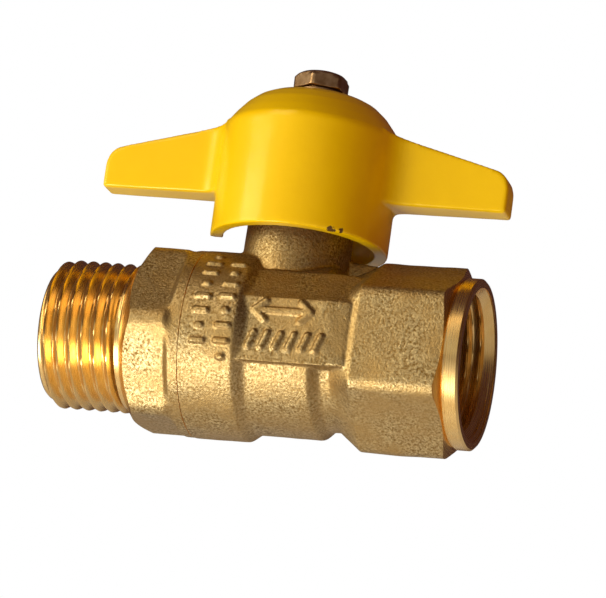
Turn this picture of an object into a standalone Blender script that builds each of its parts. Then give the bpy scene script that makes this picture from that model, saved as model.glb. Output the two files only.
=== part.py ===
"""Forged brass ball valve, G1/2 male by G1/2 female, 10 mm bore, with a butterfly handle.

Frame: the origin is the ball's centre. +X is the flow axis towards the female end, +Z the stem axis
towards the handle. The valve is modelled open, with the handle's wings along the pipe.
"""

import math

import bmesh
import bpy
from mathutils import Matrix, Vector

MM = 0.001
GAP = 0.3 * MM  # clearance between neighbouring pieces
ROUND = 48  # sides of a full-size round piece
SMALL_ROUND = 32  # sides of a small round piece

# Driving dimensions. X runs along the pipe, so "_X" values are stations on the flow axis.
THREAD_R = 20.955 / 2 * MM  # G1/2 major radius
SOCKET_R = 18.631 / 2 * MM  # G1/2 minor radius
BORE_R = 5.0 * MM
BALL_R = 8.2 * MM
CHAMBER_R = BALL_R + GAP
MALE_END_X = -33.0 * MM
THREAD_END_X = -21.3 * MM
ADAPTER_HEX_X = -18.5 * MM
ADAPTER_FLANGE_X = -13.3 * MM
JOINT_X = -11.6 * MM
COLLAR_END_X = -3.6 * MM
BARREL_END_X = 6.9 * MM
WAIST_END_X = 9.5 * MM
HEX_START_X = 11.2 * MM
HEX_END_X = 24.3 * MM
LIP_START_X = 25.4 * MM
FEMALE_END_X = 27.7 * MM
SOCKET_DEPTH = 15.0 * MM
COLLAR_R = 13.1 * MM
ADAPTER_R = 13.1 * MM
ADAPTER_CORNER_R = 13.4 * MM
BARREL_R = 12.05 * MM
WAIST_R = 10.85 * MM
HEX_CORNER_R = 13.5 * MM
HEX_FLATS = 24.0 * MM
LIP_R = 11.85 * MM
SPIGOT_R = 10.1 * MM
SPIGOT_END_X = -5.2 * MM
SEAT_R = 7.9 * MM
SEAT_BORE_R = 5.3 * MM
SEAT_FACE_X = 4.8 * MM
SEAT_BACK_X = 8.6 * MM
O_RING_THICK = 1.0 * MM
MALE_BORE_R = 6.5 * MM
MALE_BORE_FLOOR_X = -16.5 * MM
PAD_HALF_Z = 4.6 * MM

NECK_R = 7.2 * MM
NECK_TOP_Z = 22.0 * MM
PACKING_FLOOR_Z = 17.5 * MM
PACKING_R = 5.6 * MM
PACKING_THICK = 1.6 * MM
GLAND_FLATS = 13.0 * MM
GLAND_TOP_Z = 24.6 * MM
STEM_R = 4.0 * MM
STEM_BORE_R = 4.4 * MM
STEM_COLLAR_R = 5.2 * MM
STEM_COLLAR_Z = (8.75 * MM, 10.4 * MM)
COUNTERBORE_TOP_Z = 11.8 * MM
STEM_SQUARE = 6.0 * MM
STEM_SHOULDER_Z = 25.0 * MM
STEM_TOP_Z = 33.5 * MM
SCREW_HOLE_FLOOR_Z = 26.0 * MM
STEM_RING_Z = (13.3 * MM, 15.9 * MM)
SLOT_WIDTH = 3.6 * MM
SLOT_FLOOR_Z = 6.2 * MM

HUB_R = 12.5 * MM
HUB_WALL = 2.0 * MM
HUB_RIM_Z = 14.9 * MM
HUB_SHOULDER_Z = 30.9 * MM
HUB_ROOF_Z = 28.3 * MM
HUB_TOP_Z = 36.3 * MM
HUB_TOP_R = 6.0 * MM
HUB_BOSS_R = 5.6 * MM
HUB_BOSS_FLOOR_Z = 25.3 * MM
WING_FLOOR_Z = 21.3 * MM
WING_TIP_X = 29.4 * MM
WING_ROOT_HALF = 2.6 * MM
WING_TIP_HALF = 2.2 * MM
WING_ROOT_X = 9.0 * MM
WING_ROOT_TOP_Z = 31.8 * MM
WING_TIP_TOP_Z = 26.0 * MM
WING_CORNER = 2.0 * MM
STOP_LUG_WIDTH = 4.0 * MM
STOP_LUG_TOP_Z = 17.6 * MM
STOP_LUG_Y = 11.9 * MM
HANDLE_SWEEP = math.radians(90)
SCREW_R = 2.0 * MM
SCREW_FLATS = 7.0 * MM
SCREW_HEAD_Z = (37.65 * MM, 40.3 * MM)
SCREW_TIP_Z = 28.0 * MM
SCREW_TURN = math.radians(-64.7)
SPRING_WASHER_R = 3.6 * MM
SPRING_WASHER_THICK = 0.9 * MM


def clear_scene():
    for old in list(bpy.data.objects):
        bpy.data.objects.remove(old, do_unlink=True)


def material(name, colour, metallic, roughness):
    made = bpy.data.materials.new(name)
    made.use_nodes = True
    shader = made.node_tree.nodes["Principled BSDF"]
    shader.inputs["Base Color"].default_value = (*colour, 1.0)
    shader.inputs["Metallic"].default_value = metallic
    shader.inputs["Roughness"].default_value = roughness
    made.diffuse_color = (*colour, 1.0)
    return made


def add_object(name, bm, finish, smooth_angle=35):
    bmesh.ops.recalc_face_normals(bm, faces=bm.faces)
    mesh = bpy.data.meshes.new(name)
    bm.to_mesh(mesh)
    bm.free()
    mesh.shade_smooth()
    mesh.set_sharp_from_angle(angle=math.radians(smooth_angle))
    made = bpy.data.objects.new(name, mesh)
    bpy.context.scene.collection.objects.link(made)
    if finish:
        mesh.materials.append(finish)
    return made


def revolve(bm, outline, axis="X", segments=ROUND, outward=None):
    """A closed outline of (station, radius) points turned about the axis.

    `outward(angle, radius)` gives the true radius at an angle, where the piece isn't round.
    """
    rings = []
    for step in range(segments):
        angle = 2 * math.pi * step / segments
        ring = []
        for station, radius in outline:
            reach = outward(angle, radius) if outward else radius
            u, v = reach * math.cos(angle), reach * math.sin(angle)
            ring.append(bm.verts.new((station, u, v) if axis == "X" else (u, v, station)))
        rings.append(ring)
    for step in range(segments):
        here, after = rings[step], rings[(step + 1) % segments]
        for i in range(len(outline)):
            j = (i + 1) % len(outline)
            bm.faces.new((here[i], here[j], after[j], after[i]))
    return bm


def turned(name, outline, finish, axis="X", segments=ROUND, **options):
    return add_object(name, revolve(bmesh.new(), outline, axis, segments, **options), finish)


def turned_solid(bm, outline, axis, segments):
    """An open outline whose first and last points are flat end faces, turned about the axis and capped."""
    rings = []
    for station, radius in outline:
        ring = []
        for step in range(segments):
            angle = 2 * math.pi * step / segments
            u, v = radius * math.cos(angle), radius * math.sin(angle)
            ring.append(bm.verts.new((station, u, v) if axis == "X" else (u, v, station)))
        rings.append(ring)
    for here, after in zip(rings, rings[1:]):
        for i in range(segments):
            j = (i + 1) % segments
            bm.faces.new((here[i], here[j], after[j], after[i]))
    bm.faces.new(rings[0])
    bm.faces.new(list(reversed(rings[-1])))
    return bm


def box(bm, low, high):
    centre = (Vector(low) + Vector(high)) / 2
    size = Vector(high) - Vector(low)
    matrix = Matrix.Translation(centre) @ Matrix.Diagonal((*size, 1.0))
    bmesh.ops.create_cube(bm, size=1.0, matrix=matrix)
    return bm


def prism(bm, outline):
    """An outline of (x, z, half-thickness) points, extruded both ways along Y by the half-thickness."""
    near = [bm.verts.new((x, -half, z)) for x, z, half in outline]
    far = [bm.verts.new((x, half, z)) for x, z, half in outline]
    bm.faces.new(near)
    bm.faces.new(list(reversed(far)))
    for i in range(len(outline)):
        j = (i + 1) % len(outline)
        bm.faces.new((near[i], far[i], far[j], near[j]))
    return bm


def combine(target, helper, operation):
    """Adds a Boolean with a hidden helper object, which the render leaves out."""
    helper.hide_render = True
    helper.display_type = "WIRE"
    modifier = target.modifiers.new(helper.name, "BOOLEAN")
    modifier.operation = operation
    modifier.object = helper
    modifier.solver = "EXACT"


def hex_reach(across, angle, turn):
    """The distance from the axis to a hexagon's side at an angle, with a flat facing `turn`."""
    offset = (angle - turn + math.pi / 6) % (math.pi / 3) - math.pi / 6
    return across / 2 / math.cos(offset)


def hexagon(bm, across, low, high, turn, axis="Z"):
    """A plain hexagonal prism with one flat facing the angle `turn`."""
    corner = across / 2 / math.cos(math.pi / 6)
    points = [turn + math.pi / 6 + i * math.pi / 3 for i in range(6)]
    ends = []
    for station in (low, high):
        ring = []
        for angle in points:
            u, v = corner * math.cos(angle), corner * math.sin(angle)
            ring.append(bm.verts.new((station, u, v) if axis == "X" else (u, v, station)))
        ends.append(ring)
    bm.faces.new(ends[0])
    bm.faces.new(list(reversed(ends[1])))
    for i in range(6):
        j = (i + 1) % 6
        bm.faces.new((ends[0][i], ends[0][j], ends[1][j], ends[1][i]))
    return bm


def flats_outside(name, start, end, turn):
    """A thick sleeve about the flow axis with a hexagonal hole: cutting with it leaves six flats.

    One flat faces the angle `turn`, counted from +Y towards +Z.
    """
    outer = 2 * HEX_CORNER_R

    def shape(angle, radius):
        return hex_reach(HEX_FLATS, angle, turn) if radius < outer else radius

    outline = ((start, outer), (end, outer), (end, 0.0), (start, 0.0))
    return turned(name, outline, None, segments=ROUND, outward=shape)


def make_body(brass):
    """The forging: collar, barrel, waist and wrench hexagon along X, with the stem's neck on top."""
    face_x = JOINT_X + GAP / 2
    outline = (
        (face_x, COLLAR_R),
        (COLLAR_END_X, COLLAR_R),
        (COLLAR_END_X + 1.4 * MM, BARREL_R),
        (BARREL_END_X, BARREL_R),
        (BARREL_END_X + 1.5 * MM, WAIST_R),
        (WAIST_END_X, WAIST_R),
        (HEX_START_X, HEX_CORNER_R),
        (HEX_END_X, HEX_CORNER_R),
        (LIP_START_X, LIP_R),
        (FEMALE_END_X - 0.3 * MM, LIP_R),
        (FEMALE_END_X, LIP_R - 0.3 * MM),
    )
    body = add_object("body", turned_solid(bmesh.new(), outline, "X", ROUND), brass)
    flats = flats_outside("body_flats_cutter", WAIST_END_X, LIP_START_X, 0.0)
    combine(body, flats, "DIFFERENCE")

    neck = turned_solid(bmesh.new(), ((0.0, NECK_R + 0.5 * MM), (NECK_TOP_Z, NECK_R)), "Z", ROUND)
    combine(body, add_object("body_neck", neck, None), "UNION")
    half = STOP_LUG_WIDTH / 2
    lug = box(bmesh.new(), (-half, 0.0, 0.0), (half, STOP_LUG_Y, STOP_LUG_TOP_Z))
    combine(body, add_object("body_stop_lug", lug, None), "UNION")
    pad_low = (COLLAR_END_X, -HEX_FLATS / 2, -PAD_HALF_Z)
    pad = box(bmesh.new(), pad_low, (HEX_START_X, 0.0, PAD_HALF_Z))
    combine(body, add_object("body_pad", pad, None), "UNION")

    socket_floor_x = FEMALE_END_X - SOCKET_DEPTH
    pocket_x = SEAT_BACK_X + GAP
    passage = (
        (face_x - MM, SPIGOT_R + GAP),
        (SPIGOT_END_X + GAP, SPIGOT_R + GAP),
        (SPIGOT_END_X + GAP, CHAMBER_R),
        (SEAT_FACE_X, CHAMBER_R),
        (SEAT_FACE_X, SEAT_R + GAP),
        (pocket_x, SEAT_R + GAP),
        (pocket_x, BORE_R),
        (socket_floor_x - 1.2 * MM, BORE_R),
        (socket_floor_x, SOCKET_R),
        (FEMALE_END_X - 0.5 * MM, SOCKET_R),
        (FEMALE_END_X, SOCKET_R + 0.5 * MM),
        (FEMALE_END_X + MM, SOCKET_R + 0.5 * MM),
    )
    cutter = turned_solid(bmesh.new(), passage, "X", ROUND)
    combine(body, add_object("body_passage_cutter", cutter, None), "DIFFERENCE")
    bore = (
        (5.0 * MM, STEM_COLLAR_R + GAP),
        (COUNTERBORE_TOP_Z, STEM_COLLAR_R + GAP),
        (COUNTERBORE_TOP_Z, STEM_BORE_R),
        (PACKING_FLOOR_Z, STEM_BORE_R),
        (PACKING_FLOOR_Z, PACKING_R + GAP),
        (NECK_TOP_Z + MM, PACKING_R + GAP),
    )
    cutter = turned_solid(bmesh.new(), bore, "Z", SMALL_ROUND)
    combine(body, add_object("body_stem_bore_cutter", cutter, None), "DIFFERENCE")


def make_end_adapter(brass):
    shoulder_x = JOINT_X - GAP / 2
    groove = (shoulder_x + 0.5 * MM, shoulder_x + 1.9 * MM)
    outline = (
        (MALE_END_X, THREAD_R - 0.8 * MM),
        (MALE_END_X + 0.6 * MM, THREAD_R),
        (THREAD_END_X, THREAD_R),
        (THREAD_END_X + 0.3 * MM, THREAD_R - 1.1 * MM),
        (THREAD_END_X + 0.6 * MM, THREAD_R - 1.1 * MM),
        (THREAD_END_X + 0.6 * MM, THREAD_R - 0.3 * MM),
        (ADAPTER_HEX_X, ADAPTER_CORNER_R),
        (ADAPTER_FLANGE_X, ADAPTER_CORNER_R),
        (ADAPTER_FLANGE_X + GAP, ADAPTER_R),
        (shoulder_x, ADAPTER_R),
        (shoulder_x, SPIGOT_R),
        (groove[0], SPIGOT_R),
        (groove[0], SPIGOT_R - O_RING_THICK - 0.1 * MM),
        (groove[1], SPIGOT_R - O_RING_THICK - 0.1 * MM),
        (groove[1], SPIGOT_R),
        (SPIGOT_END_X, SPIGOT_R),
        (SPIGOT_END_X, SEAT_R + GAP),
        (-SEAT_BACK_X - GAP, SEAT_R + GAP),
        (-SEAT_BACK_X - GAP, BORE_R),
        (MALE_BORE_FLOOR_X + 1.5 * MM, BORE_R),
        (MALE_BORE_FLOOR_X, MALE_BORE_R),
        (MALE_END_X, MALE_BORE_R),
    )
    adapter = turned("end_adapter", outline, brass)
    start = THREAD_END_X + 0.4 * MM
    flats = flats_outside("adapter_flats_cutter", start, ADAPTER_FLANGE_X, math.pi / 2)
    combine(adapter, flats, "DIFFERENCE")


def make_o_ring(name, radius, station, axis, rubber, thick=O_RING_THICK):
    """A round-section ring in a groove, centred at the station on its axis."""
    sides = 8
    outline = []
    for i in range(sides):
        angle = 2 * math.pi * i / sides
        outline.append((station + thick / 2 * math.cos(angle), radius + thick / 2 * math.sin(angle)))
    turned(name, outline, rubber, axis, SMALL_ROUND)


def make_ball(chrome):
    """A sphere bored through along X, with the stem's slot across its top."""
    bore_x = math.sqrt(BALL_R**2 - BORE_R**2)
    start = math.asin(BORE_R / BALL_R)
    steps = 12
    outline = [(-bore_x, BORE_R), (bore_x, BORE_R)]
    for i in range(1, steps):
        angle = start + (math.pi - 2 * start) * i / steps
        outline.append((BALL_R * math.cos(angle), BALL_R * math.sin(angle)))
    ball = turned("ball", outline, chrome)
    half = SLOT_WIDTH / 2
    slot = box(bmesh.new(), (-half, -BALL_R - MM, SLOT_FLOOR_Z), (half, BALL_R + MM, BALL_R + MM))
    combine(ball, add_object("ball_slot_cutter", slot, None), "DIFFERENCE")


def make_seat(name, side, ptfe):
    """A ring whose inner face is part of a sphere a gap larger than the ball. `side` is +1 or -1 along X."""
    face_r = BALL_R + GAP
    face_angle = math.acos(SEAT_FACE_X / face_r)
    lip_angle = math.asin(SEAT_BORE_R / face_r)
    outline = [(SEAT_BACK_X, SEAT_BORE_R), (SEAT_BACK_X, SEAT_R), (SEAT_FACE_X, SEAT_R)]
    steps = 4
    for i in range(steps + 1):
        angle = face_angle + (lip_angle - face_angle) * i / steps
        outline.append((face_r * math.cos(angle), face_r * math.sin(angle)))
    turned(name, [(side * x, r) for x, r in outline], ptfe, segments=SMALL_ROUND)


def make_stem(brass, pivot):
    groove_r = STEM_R - O_RING_THICK
    outline = [(STEM_COLLAR_Z[0], STEM_COLLAR_R), (STEM_COLLAR_Z[1], STEM_COLLAR_R)]
    outline.append((STEM_COLLAR_Z[1], STEM_R))
    for station in STEM_RING_Z:
        low, high = station - 0.8 * MM, station + 0.8 * MM
        outline += [(low, STEM_R), (low, groove_r), (high, groove_r), (high, STEM_R)]
    outline.append((STEM_SHOULDER_Z, STEM_R))
    stem = add_object("stem", turned_solid(bmesh.new(), outline, "Z", SMALL_ROUND), brass)
    half = STEM_SQUARE / 2
    square = box(bmesh.new(), (-half, -half, STEM_SHOULDER_Z - MM), (half, half, STEM_TOP_Z))
    combine(stem, add_object("stem_square", square, None), "UNION")
    tang_x, tang_y = SLOT_WIDTH / 2 - GAP, 3.0 * MM
    tang = box(
        bmesh.new(),
        (-tang_x, -tang_y, SLOT_FLOOR_Z + GAP),
        (tang_x, tang_y, STEM_COLLAR_Z[0] + 0.5 * MM),
    )
    combine(stem, add_object("stem_tang", tang, None), "UNION")
    hole = ((SCREW_HOLE_FLOOR_Z, SCREW_R + GAP), (STEM_TOP_Z + MM, SCREW_R + GAP))
    cutter = turned_solid(bmesh.new(), hole, "Z", SMALL_ROUND)
    combine(stem, add_object("stem_screw_hole_cutter", cutter, None), "DIFFERENCE")
    stem.parent = pivot


def flat_ring(name, inner, outer, low, high, finish):
    outline = ((low, inner), (low, outer), (high, outer), (high, inner))
    return turned(name, outline, finish, "Z", SMALL_ROUND)


def make_gland_nut(brass):
    """A hollow nut: a threaded barrel that presses the packing down, under a hexagon head."""
    outline = ((PACKING_FLOOR_Z + PACKING_THICK + 2 * GAP, PACKING_R), (GLAND_TOP_Z, PACKING_R))
    nut = add_object("gland_nut", turned_solid(bmesh.new(), outline, "Z", SMALL_ROUND), brass)
    head = hexagon(bmesh.new(), GLAND_FLATS, NECK_TOP_Z + GAP, GLAND_TOP_Z, 0.0)
    combine(nut, add_object("gland_nut_head", head, None), "UNION")
    hole = ((PACKING_FLOOR_Z, STEM_R + GAP), (GLAND_TOP_Z + MM, STEM_R + GAP))
    cutter = turned_solid(bmesh.new(), hole, "Z", SMALL_ROUND)
    combine(nut, add_object("gland_nut_hole_cutter", cutter, None), "DIFFERENCE")


def wing_outline(side):
    """A wing's side view: flat below, sloping down above and thinning towards the tip."""
    root, shoulder, tip = side * WING_ROOT_X, side * (WING_TIP_X - WING_CORNER), side * WING_TIP_X
    return (
        (root, WING_FLOOR_Z, WING_ROOT_HALF),
        (tip, WING_FLOOR_Z, WING_TIP_HALF),
        (tip, WING_TIP_TOP_Z, WING_TIP_HALF),
        (shoulder, WING_TIP_TOP_Z + 0.85 * WING_CORNER, WING_TIP_HALF),
        (root, WING_ROOT_TOP_Z, WING_ROOT_HALF),
    )


def make_handle(coated, pivot):
    """A bell-shaped hub with two wings. Part of the skirt is cut away, so it turns past the stop lug."""
    inner_r = HUB_R - HUB_WALL
    outline = (
        (HUB_RIM_Z, HUB_R),
        (HUB_SHOULDER_Z, HUB_R),
        (32.5 * MM, 11.4 * MM),
        (34.2 * MM, 10.0 * MM),
        (35.3 * MM, 8.7 * MM),
        (36.0 * MM, 7.3 * MM),
        (HUB_TOP_Z, HUB_TOP_R),
    )
    hub = turned_solid(bmesh.new(), outline, "Z", ROUND)
    handle = add_object("handle", hub, coated)
    for side, word in ((1, "right"), (-1, "left")):
        wing = prism(bmesh.new(), wing_outline(side))
        combine(handle, add_object("handle_wing_" + word, wing, None), "UNION")
    cavity = (
        (HUB_RIM_Z - MM, HUB_BOSS_R),
        (HUB_RIM_Z - MM, inner_r),
        (HUB_ROOF_Z, inner_r),
        (HUB_ROOF_Z, HUB_BOSS_R),
    )
    hollow = turned("handle_cavity_cutter", cavity, None, "Z", ROUND)
    combine(handle, hollow, "DIFFERENCE")
    under_boss = ((HUB_RIM_Z - 2 * MM, HUB_BOSS_R + MM), (HUB_BOSS_FLOOR_Z, HUB_BOSS_R + MM))
    shortener = turned_solid(bmesh.new(), under_boss, "Z", ROUND)
    combine(handle, add_object("handle_boss_cutter", shortener, None), "DIFFERENCE")
    half = STEM_SQUARE / 2 + GAP
    low = (-half, -half, HUB_BOSS_FLOOR_Z - MM)
    square = box(bmesh.new(), low, (half, half, STEM_TOP_Z + GAP))
    combine(handle, add_object("handle_square_cutter", square, None), "DIFFERENCE")
    hole = ((STEM_TOP_Z, SCREW_R + GAP), (HUB_TOP_Z + MM, SCREW_R + GAP))
    screw_hole = turned_solid(bmesh.new(), hole, "Z", SMALL_ROUND)
    combine(handle, add_object("handle_screw_hole_cutter", screw_hole, None), "DIFFERENCE")

    # The gap in the skirt: the lug's width plus the sweep, with a clearance at either end.
    middle_r = HUB_R - HUB_WALL / 2
    lug_half_angle = math.asin((STOP_LUG_WIDTH / 2 + GAP) / middle_r)
    start = math.pi / 2 - lug_half_angle
    end = math.pi / 2 + lug_half_angle + HANDLE_SWEEP
    reach = (0.6 * inner_r, 1.6 * HUB_R)
    steps = 16
    bm = bmesh.new()
    rings = []
    for i in range(steps + 1):
        angle = start + (end - start) * i / steps
        ring = []
        for radius, z in (
            (reach[0], HUB_RIM_Z - MM),
            (reach[1], HUB_RIM_Z - MM),
            (reach[1], WING_FLOOR_Z - 0.5 * MM),
            (reach[0], WING_FLOOR_Z - 0.5 * MM),
        ):
            ring.append(bm.verts.new((radius * math.cos(angle), radius * math.sin(angle), z)))
        rings.append(ring)
    for here, after in zip(rings, rings[1:]):
        for i in range(4):
            j = (i + 1) % 4
            bm.faces.new((here[i], here[j], after[j], after[i]))
    bm.faces.new(rings[0])
    bm.faces.new(list(reversed(rings[-1])))
    combine(handle, add_object("handle_skirt_gap_cutter", bm, None), "DIFFERENCE")
    handle.parent = pivot


def make_screw(steel, pivot):
    shank = ((SCREW_TIP_Z, SCREW_R), (SCREW_HEAD_Z[0] + 0.5 * MM, SCREW_R))
    screw = add_object("handle_screw", turned_solid(bmesh.new(), shank, "Z", SMALL_ROUND), steel)
    head = hexagon(bmesh.new(), SCREW_FLATS, *SCREW_HEAD_Z, SCREW_TURN)
    combine(screw, add_object("handle_screw_head", head, None), "UNION")
    screw.parent = pivot


def main():
    clear_scene()
    forged = material("forged_brass", (0.42, 0.26, 0.09), 1.0, 0.55)
    turned_brass = material("turned_brass", (0.78, 0.50, 0.15), 1.0, 0.25)
    chrome = material("chromed_brass", (0.75, 0.76, 0.78), 1.0, 0.08)
    ptfe = material("white_ptfe", (0.85, 0.85, 0.82), 0.0, 0.5)
    rubber = material("black_nitrile_rubber", (0.02, 0.02, 0.02), 0.0, 0.6)
    coated = material("yellow_coated_zinc", (0.93, 0.62, 0.01), 0.0, 0.25)
    zinc_steel = material("yellow_zinc_plated_steel", (0.30, 0.18, 0.07), 1.0, 0.35)

    pivot = bpy.data.objects.new("stem_axis", None)
    bpy.context.scene.collection.objects.link(pivot)

    make_body(forged)
    make_end_adapter(forged)
    groove_x = JOINT_X - GAP / 2 + 1.2 * MM
    make_o_ring("adapter_o_ring", SPIGOT_R - O_RING_THICK / 2 + 0.05 * MM, groove_x, "X", rubber)
    make_ball(chrome)
    make_seat("seat_ring_female_side", 1, ptfe)
    make_seat("seat_ring_male_side", -1, ptfe)
    make_stem(turned_brass, pivot)
    low, high = STEM_COLLAR_Z[1] + GAP, COUNTERBORE_TOP_Z - GAP
    flat_ring("stem_thrust_washer", STEM_R + GAP, STEM_COLLAR_R, low, high, ptfe)
    ring_r = STEM_R - O_RING_THICK / 2 + 0.15 * MM
    for name, station in zip(("stem_o_ring_lower", "stem_o_ring_upper"), STEM_RING_Z):
        make_o_ring(name, ring_r, station, "Z", rubber, 0.9 * MM)
    low = PACKING_FLOOR_Z + GAP
    flat_ring("packing_ring", STEM_R + GAP, PACKING_R, low, low + PACKING_THICK, ptfe)
    make_gland_nut(turned_brass)
    make_handle(coated, pivot)
    low = HUB_TOP_Z + 0.2 * MM
    high = low + SPRING_WASHER_THICK
    spring = flat_ring("spring_washer", SCREW_R + GAP, SPRING_WASHER_R, low, high, zinc_steel)
    split = box(bmesh.new(), (0.0, -GAP, HUB_TOP_Z), (2 * SPRING_WASHER_R, GAP, high + MM))
    combine(spring, add_object("spring_washer_split_cutter", split, None), "DIFFERENCE")
    spring.parent = pivot
    make_screw(zinc_steel, pivot)


main()
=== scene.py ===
"""Forged brass ball valve with a butterfly handle, made piece by piece in the order it is put together.

Lengths here are millimetres until a piece is finished, and then metres. The frame is the CAD's: +X along
the pipe towards the female end, +Z up the stem, and the origin at the ball's centre.
"""

import math

import bmesh
import bpy
import numpy as np
from mathutils import Matrix, Vector, noise


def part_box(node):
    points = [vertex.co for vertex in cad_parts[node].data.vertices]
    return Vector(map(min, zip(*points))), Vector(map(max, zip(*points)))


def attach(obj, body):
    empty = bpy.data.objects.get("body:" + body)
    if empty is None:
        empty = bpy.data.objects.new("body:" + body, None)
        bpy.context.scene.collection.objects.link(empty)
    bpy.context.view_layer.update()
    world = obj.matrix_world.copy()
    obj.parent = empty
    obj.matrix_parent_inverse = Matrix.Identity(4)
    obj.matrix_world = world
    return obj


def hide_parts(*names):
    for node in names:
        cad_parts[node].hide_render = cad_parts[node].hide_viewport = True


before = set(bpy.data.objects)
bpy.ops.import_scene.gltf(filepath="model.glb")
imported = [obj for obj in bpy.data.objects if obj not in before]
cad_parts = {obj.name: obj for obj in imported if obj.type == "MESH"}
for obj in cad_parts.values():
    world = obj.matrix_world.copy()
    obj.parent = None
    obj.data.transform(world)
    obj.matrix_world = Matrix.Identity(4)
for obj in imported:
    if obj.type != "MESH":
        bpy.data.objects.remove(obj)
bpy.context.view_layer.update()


# ---------------------------------------------------------------------------------------------------
# The valve body. One brass billet, hot forged between two dies and shot blasted, so its skin is matt
# and grainy and every edge is worn round. Only the ends, the bores and the female end are turned.

MM = 0.001
THREAD_R = 20.955 / 2  # G1/2
PITCH = 1.814
THREAD_DEPTH = 1.162
FLATS = 24.0

body_low, body_high = (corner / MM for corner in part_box("body"))
adapter_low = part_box("end_adapter")[0] / MM
FEMALE_END = body_high.x
JOINT = body_low.x
COLLAR_R = 13.1
COLLAR_END = JOINT + 7.9
BARREL_R = 12.05
BARREL_END = COLLAR_END + 10.4
WAIST_R = 10.85
HEX_CORNER_R = 13.5
HEX_END = FEMALE_END - 3.4
LIP_R = 11.85
BORE_R = 5.0
CHAMBER_R = 10.4
SEAT_POCKET_R = 8.2
SPIGOT_END = -5.2
NECK_R = 7.2
NECK_TOP = 22.0
STEM_COLLAR_WAY_R = 5.5
STEM_WAY_R = 4.4
STUFFING_BOX_R = 5.9


def linear(colour):
    """An sRGB hex colour as the linear numbers that a shader takes."""
    parts = (int(colour[i : i + 2], 16) / 255 for i in (1, 3, 5))
    return tuple(p / 12.92 if p <= 0.04045 else ((p + 0.055) / 1.055) ** 2.4 for p in parts) + (1.0,)


def add(tree, kind, inputs, **settings):
    """Adds a node: settings are its properties, inputs are values or other nodes' outputs."""
    made = tree.nodes.new("ShaderNode" + kind)
    for name, value in settings.items():
        setattr(made, name, value)
    for name, value in inputs.items():
        if isinstance(value, bpy.types.NodeSocket):
            tree.links.new(value, made.inputs[name])
        else:
            made.inputs[name].default_value = value
    return made


def blasted_brass():
    """Shot-blasted forging brass: matt and dimpled, so that it glitters in grains of light and dark brass.

    The dimples of real fine shot are about 0.1 mm across. They are drawn coarser so that they show.
    """
    made = bpy.data.materials.new("forging_brass_shot_blasted")
    made.use_nodes = True
    tree = made.node_tree
    shader = tree.nodes["Principled BSDF"]
    place = add(tree, "TexCoord", {}).outputs["Object"]
    grit = add(
        tree,
        "TexNoise",
        {"Vector": place, "Scale": 1 / (0.34 * MM), "Detail": 3.0, "Roughness": 0.65},
    )
    dents = add(tree, "TexVoronoi", {"Vector": place, "Scale": 1 / (0.55 * MM)}, feature="SMOOTH_F1")
    scale = add(tree, "TexNoise", {"Vector": place, "Scale": 1 / (5.0 * MM), "Detail": 4.0})
    fleck = add(tree, "MapRange", {"Value": grit.outputs["Fac"], "From Min": 0.36, "From Max": 0.66})
    stain = add(tree, "MapRange", {"Value": scale.outputs["Fac"], "From Min": 0.35, "From Max": 0.7})
    plain = add(
        tree,
        "Mix",
        {0: fleck.outputs[0], 6: linear("#7E602F"), 7: linear("#DCC48C")},
        data_type="RGBA",
    )
    colour = add(
        tree,
        "Mix",
        {0: stain.outputs[0], 6: plain.outputs[2], 7: linear("#B3935A")},
        data_type="RGBA",
    )
    tree.links.new(colour.outputs[2], shader.inputs["Base Color"])
    dull = add(
        tree,
        "MapRange",
        {"Value": grit.outputs["Fac"], "From Min": 0.3, "From Max": 0.7, "To Min": 0.52, "To Max": 0.34},
    )
    tree.links.new(dull.outputs[0], shader.inputs["Roughness"])
    shader.inputs["Metallic"].default_value = 1.0
    pits = add(tree, "Bump", {"Strength": 0.35, "Distance": 0.05 * MM, "Height": dents.outputs["Distance"]})
    grain = add(
        tree,
        "Bump",
        {"Strength": 1.0, "Distance": 0.09 * MM, "Height": grit.outputs["Fac"], "Normal": pits.outputs[0]},
    )
    tree.links.new(grain.outputs[0], shader.inputs["Normal"])
    return made


def turned_brass(name, axis):
    """Brass straight off the lathe: bright, with the tool's fine rings about the axis it turned on."""
    made = bpy.data.materials.new(name)
    made.use_nodes = True
    tree = made.node_tree
    shader = tree.nodes["Principled BSDF"]
    point = add(tree, "TexCoord", {}).outputs["Object"]
    place = add(tree, "SeparateXYZ", {0: point}).outputs
    along, others = {"X": (place["X"], ("Y", "Z")), "Z": (place["Z"], ("X", "Y"))}[axis]
    spoke = add(tree, "CombineXYZ", {"X": place[others[0]], "Y": place[others[1]]})
    radius = add(tree, "VectorMath", {0: spoke.outputs[0]}, operation="LENGTH")
    rings = add(tree, "CombineXYZ", {"X": along, "Y": radius.outputs["Value"]})
    feed = add(tree, "TexNoise", {"Vector": rings.outputs[0], "Scale": 1 / (0.16 * MM), "Detail": 2.0})
    smear = add(tree, "TexNoise", {"Vector": point, "Scale": 1 / (3.0 * MM), "Detail": 3.0})
    colour = add(
        tree,
        "Mix",
        {0: smear.outputs["Fac"], 6: linear("#E0AE55"), 7: linear("#F6D998")},
        data_type="RGBA",
    )
    tree.links.new(colour.outputs[2], shader.inputs["Base Color"])
    polish = add(
        tree,
        "MapRange",
        {"Value": feed.outputs["Fac"], "From Min": 0.3, "From Max": 0.7, "To Min": 0.2, "To Max": 0.36},
    )
    tree.links.new(polish.outputs[0], shader.inputs["Roughness"])
    shader.inputs["Metallic"].default_value = 1.0
    cut = add(tree, "Bump", {"Strength": 0.3, "Distance": 0.01 * MM, "Height": feed.outputs["Fac"]})
    tree.links.new(cut.outputs[0], shader.inputs["Normal"])
    return made


blasted = blasted_brass()
turned = turned_brass("free_cutting_brass_turned_along_pipe", "X")
turned_upright = turned_brass("free_cutting_brass_turned_on_stem", "Z")


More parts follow.
